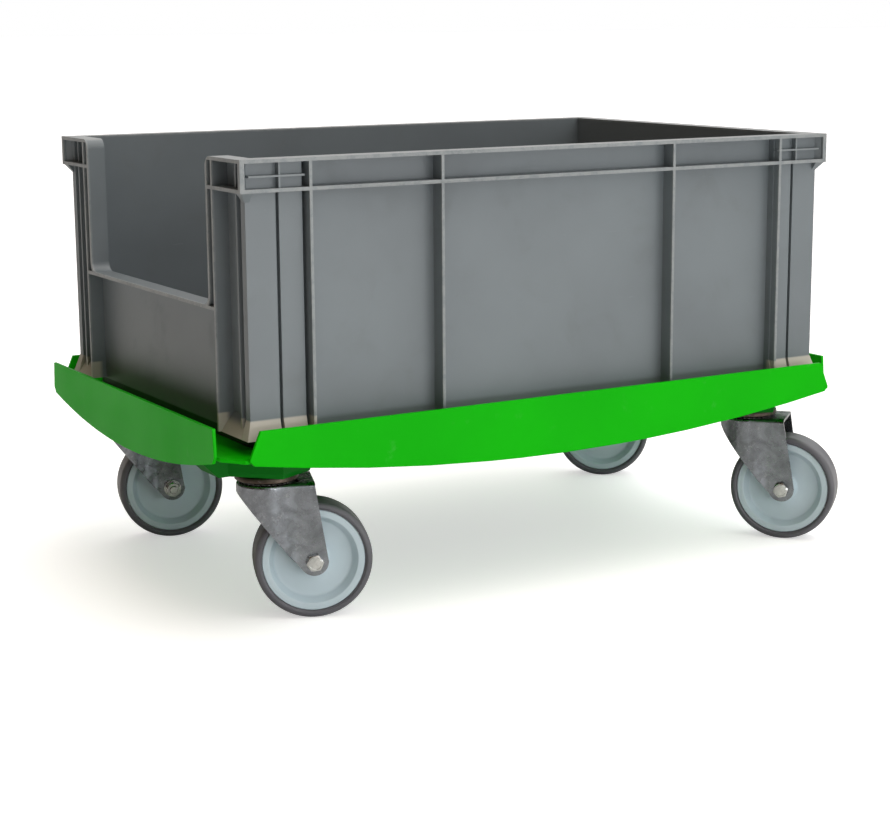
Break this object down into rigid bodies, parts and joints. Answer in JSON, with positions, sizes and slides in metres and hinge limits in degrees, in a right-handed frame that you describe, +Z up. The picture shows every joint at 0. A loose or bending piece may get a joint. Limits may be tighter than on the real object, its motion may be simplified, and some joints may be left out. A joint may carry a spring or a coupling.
{
  "type": "platform trolley",
  "caption": "Steel dolly with bowed side plates and swivel castors, carrying an open-fronted stacking container that lifts off.",
  "frame": {"origin": "on the floor, at the middle of the rectangle that the trolley covers with its castors at rest", "axes": "+X along the length, away from the container's pick opening; +Y to the left of that; +Z up"},
  "size_m": [0.6554, 0.4412, 0.3873],
  "materials": {
    "green_paint": "smooth gloss powder coat",
    "dark_green_paint": "gloss powder coat over pressed sheet",
    "zinc_plate": "zinc-plated pressed steel, faint rolling marks",
    "bright_zinc": "bright zinc-plated fasteners",
    "nylon": "nylon ball cage",
    "hub_plastic": "light blue-grey moulded plastic, satin",
    "tyre_rubber": "dark grey thermoplastic rubber, satin",
    "container_plastic": "grey moulded polypropylene, satin with rubbed edges"
  },
  "bodies": {
    "dolly": {"deck_frame": "green_paint", "right_side_plate": "green_paint", "left_side_plate": "green_paint", "front_end_plate": "green_paint", "back_end_plate": "green_paint", "corner_bracket_front_left": "dark_green_paint", "upper_race_front_left": "zinc_plate", "king_bolt_front_left": "bright_zinc", "king_nut_front_left": "bright_zinc", "corner_bracket_front_right": "dark_green_paint", "upper_race_front_right": "zinc_plate", "king_bolt_front_right": "bright_zinc", "king_nut_front_right": "bright_zinc", "corner_bracket_back_left": "dark_green_paint", "upper_race_back_left": "zinc_plate", "king_bolt_back_left": "bright_zinc", "king_nut_back_left": "bright_zinc", "corner_bracket_back_right": "dark_green_paint", "upper_race_back_right": "zinc_plate", "king_bolt_back_right": "bright_zinc", "king_nut_back_right": "bright_zinc"},
    "swivel_front_left": {"ball_ring_front_left": "nylon", "fork_front_left": "zinc_plate", "axle_bolt_front_left": "bright_zinc", "axle_nut_front_left": "bright_zinc", "axle_washer_front_left": "bright_zinc", "axle_sleeve_front_left": "bright_zinc"},
    "wheel_front_left": {"wheel_hub_front_left": "hub_plastic", "tyre_front_left": "tyre_rubber"},
    "swivel_front_right": {"ball_ring_front_right": "nylon", "fork_front_right": "zinc_plate", "axle_bolt_front_right": "bright_zinc", "axle_nut_front_right": "bright_zinc", "axle_washer_front_right": "bright_zinc", "axle_sleeve_front_right": "bright_zinc"},
    "wheel_front_right": {"wheel_hub_front_right": "hub_plastic", "tyre_front_right": "tyre_rubber"},
    "swivel_back_left": {"ball_ring_back_left": "nylon", "fork_back_left": "zinc_plate", "axle_bolt_back_left": "bright_zinc", "axle_nut_back_left": "bright_zinc", "axle_washer_back_left": "bright_zinc", "axle_sleeve_back_left": "bright_zinc"},
    "wheel_back_left": {"wheel_hub_back_left": "hub_plastic", "tyre_back_left": "tyre_rubber"},
    "swivel_back_right": {"ball_ring_back_right": "nylon", "fork_back_right": "zinc_plate", "axle_bolt_back_right": "bright_zinc", "axle_nut_back_right": "bright_zinc", "axle_washer_back_right": "bright_zinc", "axle_sleeve_back_right": "bright_zinc"},
    "wheel_back_right": {"wheel_hub_back_right": "hub_plastic", "tyre_back_right": "tyre_rubber"},
    "container": {"container": "container_plastic"}
  },
  "joints": [
    {"name": "castor_swivel_front_left", "type": "hinge", "parent": "dolly", "child": "swivel_front_left", "pos_m": [-0.2655, 0.1596, 0.1185], "axis": [0, 0, 1], "continuous": true},
    {"name": "wheel_spin_front_left", "type": "hinge", "parent": "swivel_front_left", "child": "wheel_front_left", "pos_m": [-0.23005, 0.1501, 0.05], "axis": [0.2588, 0.9659, 0], "continuous": true},
    {"name": "castor_swivel_front_right", "type": "hinge", "parent": "dolly", "child": "swivel_front_right", "pos_m": [-0.2655, -0.1464, 0.1185], "axis": [0, 0, 1], "continuous": true},
    {"name": "wheel_spin_front_right", "type": "hinge", "parent": "swivel_front_right", "child": "wheel_front_right", "pos_m": [-0.23124, -0.15955, 0.05], "axis": [0.3584, 0.9336, 0], "continuous": true},
    {"name": "castor_swivel_back_left", "type": "hinge", "parent": "dolly", "child": "swivel_back_left", "pos_m": [0.2485, 0.1596, 0.1185], "axis": [0, 0, 1], "continuous": true},
    {"name": "wheel_spin_back_left", "type": "hinge", "parent": "swivel_back_left", "child": "wheel_back_left", "pos_m": [0.27893, 0.13908, 0.05], "axis": [0.5592, 0.829, 0], "continuous": true},
    {"name": "castor_swivel_back_right", "type": "hinge", "parent": "dolly", "child": "swivel_back_right", "pos_m": [0.2485, -0.1464, 0.1185], "axis": [0, 0, 1], "continuous": true},
    {"name": "wheel_spin_back_right", "type": "hinge", "parent": "swivel_back_right", "child": "wheel_back_right", "pos_m": [0.27258, -0.1741, 0.05], "axis": [0.7547, 0.6561, 0], "continuous": true},
    {"name": "container_lift", "type": "slide", "parent": "dolly", "child": "container", "axis": [0, 0, 1], "range_m": [0, 0.25]}
  ]
}
